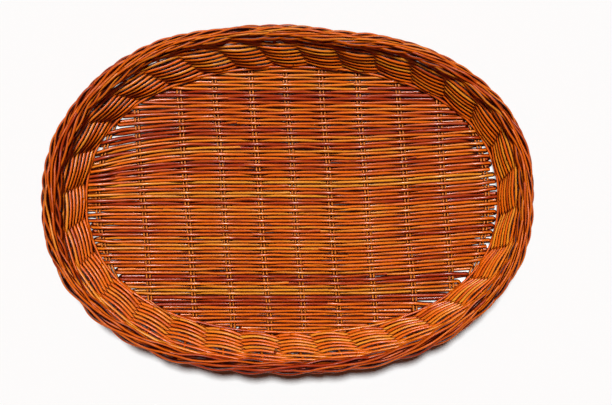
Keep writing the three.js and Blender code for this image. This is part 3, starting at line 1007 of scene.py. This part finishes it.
class SetStage(bpy.types.Operator):
    """Sets the pale table, the soft light and the camera above the basket"""

    bl_idname = "basket.set_stage"
    bl_label = "Set Stage"

    TABLE_SIZE = 40
    WALLS, CEILING, AMBIENT = 0.95, 0.06, 0.072  # brightness of the room
    AMBIENT_TINT, WHITE = (1.0, 0.28, 0.14, 1), (1, 1, 1, 1)
    LAMP_PLACE, LAMP_WIDTH, LAMP_ENERGY = (-0.05, 0.525, 1.85), math.radians(8), 3.2
    CAMERA_PLACE, SENSOR, LENS = (17 * MM, -2.7 * MM, 1.0), 36, 36 * 1036.1 / 612

    def execute(self, context):
        scene = context.scene
        self.lay_table(context)
        scene.world = self.pale_room()

        # One wide soft light, high up behind the basket
        bpy.ops.object.light_add(type="SUN", location=self.LAMP_PLACE)
        lamp = context.object
        lamp.name = "soft_light"
        lamp.data.angle, lamp.data.energy = self.LAMP_WIDTH, self.LAMP_ENERGY
        lamp.rotation_euler = (-lamp.location).to_track_quat("-Z", "Y").to_euler()

        bpy.ops.object.camera_add(location=self.CAMERA_PLACE, rotation=(0, 0, 0))
        camera = context.object
        camera.name = "photo_camera"
        camera.data.sensor_width, camera.data.lens = self.SENSOR, self.LENS
        camera.data.clip_start, camera.data.clip_end = 0.05, 20
        scene.camera = camera
        scene.view_settings.view_transform = "Standard"
        return {"FINISHED"}

    def lay_table(self, context):
        """Lays the pale table that the basket stands on."""
        scene = context.scene
        bpy.ops.object.select_all(action="DESELECT")
        bpy.ops.mesh.primitive_plane_add(size=self.TABLE_SIZE, location=(0, 0, 0))
        table = context.object
        table.name = "table"
        material, tree, shader = new_material("pale_table")
        tone = (*scene.willow_colours.table, 1)
        put(tree, shader, {"Base Color": tone, "Roughness": 0.9, "Specular IOR Level": 0.1})
        # Painted light: the table glows white under the floor's ends, as seen from above
        self.paint_light_under_floor(tree, shader, Layout(scene.basket_sizes).base)
        table.data.materials.append(material)

    def pale_room(self):
        """A pale room: light walls all round and a dim ceiling, with a warm ambient light."""
        world = bpy.data.worlds.new("soft_room")
        world.use_nodes = True
        tree = world.node_tree
        upwards = coordinates(tree, "Generated")["Z"]
        walls = spread_out(tree, upwards, 0.0, 0.28, self.WALLS, self.CEILING)
        rays = add_node(tree, "LightPath").outputs
        mirrored = maths(tree, "MAXIMUM", rays["Is Glossy Ray"], rays["Is Transmission Ray"])
        seen = maths(tree, "MAXIMUM", rays["Is Camera Ray"], mirrored)
        put(tree, tree.nodes["Background"], {
            "Color": blend(tree, seen, self.AMBIENT_TINT, self.WHITE),
            "Strength": spread_out(tree, seen, 0, 1, self.AMBIENT, walls),
        })
        return world

    def paint_light_under_floor(self, tree, shader, base):
        """Paints light on the table under the gaps at the floor's ends: a glow, seen by the camera
        from above only, that turns the shade there white.
        """
        apart = coordinates(tree, "Object")
        along = maths(tree, "ABSOLUTE", maths(tree, "SUBTRACT", apart["X"], base.middle_x))
        across = maths(tree, "ABSOLUTE", apart["Y"])
        shares = [
            maths(tree, "POWER", maths(tree, "DIVIDE", away, half), base.fullness)
            for away, half in ((along, base.half_length), (across, base.half_width))
        ]
        under = spread_out(tree, maths(tree, "ADD", *shares), 1.0, 0.94)
        ends = spread_out(tree, along, 0.14, 0.165)
        facing = add_node(tree, "LayerWeight").outputs["Facing"]
        from_above = spread_out(tree, facing, 0.12, 0.05)
        painted_glow = add_node(tree, "LightPath").outputs["Is Camera Ray"]
        for mask in (under, ends, from_above):
            painted_glow = maths(tree, "MULTIPLY", painted_glow, mask)
        put(tree, shader, {"Emission Color": painted_glow, "Emission Strength": 1.0})


class MixFinishes(bpy.types.Operator):
    """Mixes the willow finishes that the rods take"""

    bl_idname = "basket.mix_finishes"
    bl_label = "Mix Finishes"

    # Tints of the red, orange and golden rods, then streaks, dullness, gloss and varnish
    FINISHES = (
        ("floor_willow", 1, (0.96, 1.06, 1), (0.96, 1, 1), 0.8, 0.31, 0.3, 0.2),
        ("wall_willow", 1, 0.97, 0.95, 0.6, 0.3, 0.2, 0.08),
        ("border_willow", 0.95, (0.8, 0.86, 1), (0.85, 0.8, 1), 0.6, 0.34, 0.12, 0.03),
        ("stake_willow", 0.8, 0.75, 0.7, 0.4, 0.36, 0.2, 0.05),
        ("foot_willow", 1, 0.9, 0.9, 0.45, 0.36, 0.2, 0.05),
    )

    def execute(self, context):
        tones = context.scene.willow_colours
        rods = [np.array(tone) for tone in (tones.red_rod, tones.orange_rod, tones.golden_rod)]
        for name, *tints, streaks, dullness, gloss, varnish in self.FINISHES:
            tinted = [rod * tint for rod, tint in zip(rods, tints)]
            willow(name, *tinted, streaks, dullness, gloss, varnish)
        stick = np.array(tones.stick)
        pale = np.minimum(stick * 1.2, 1)
        willow(
            "stick_willow", stick * 0.7, stick, pale,
            streaks=0.45, dullness=0.32, gloss=0.3, varnish=0.12,
        )
        cut_willow(tones.cut_end)
        return {"FINISHED"}


class BasketPanel(bpy.types.Panel):
    """Sizes, colours and steps of the basket"""

    bl_idname = "VIEW3D_PT_basket"
    bl_label = "Wicker Basket"
    bl_space_type = "VIEW_3D"
    bl_region_type = "UI"
    bl_category = "Basket"

    def draw(self, context):
        for group in (context.scene.basket_sizes, context.scene.willow_colours):
            box = self.layout.box()
            for name in group.__annotations__:
                box.prop(group, name)
        for step in STEPS:
            self.layout.operator(step.bl_idname)


STEPS = (
    MixFinishes, SetStage, WeaveFoot, LaySticks, WeaveFloor, SetStakes, WeaveWall, LayBorder
)
CLASSES = (BasketSizes, WillowColours, *STEPS, BasketPanel)


def register():
    for item in CLASSES:
        bpy.utils.register_class(item)
    bpy.types.Scene.basket_sizes = PointerProperty(type=BasketSizes)
    bpy.types.Scene.willow_colours = PointerProperty(type=WillowColours)


def unregister():
    del bpy.types.Scene.willow_colours
    del bpy.types.Scene.basket_sizes
    for item in reversed(CLASSES):
        bpy.utils.unregister_class(item)


def main():
    register()
    for step in STEPS:
        getattr(bpy.ops.basket, step.bl_idname.split(".")[1])()


if __name__ == "__main__":
    main()
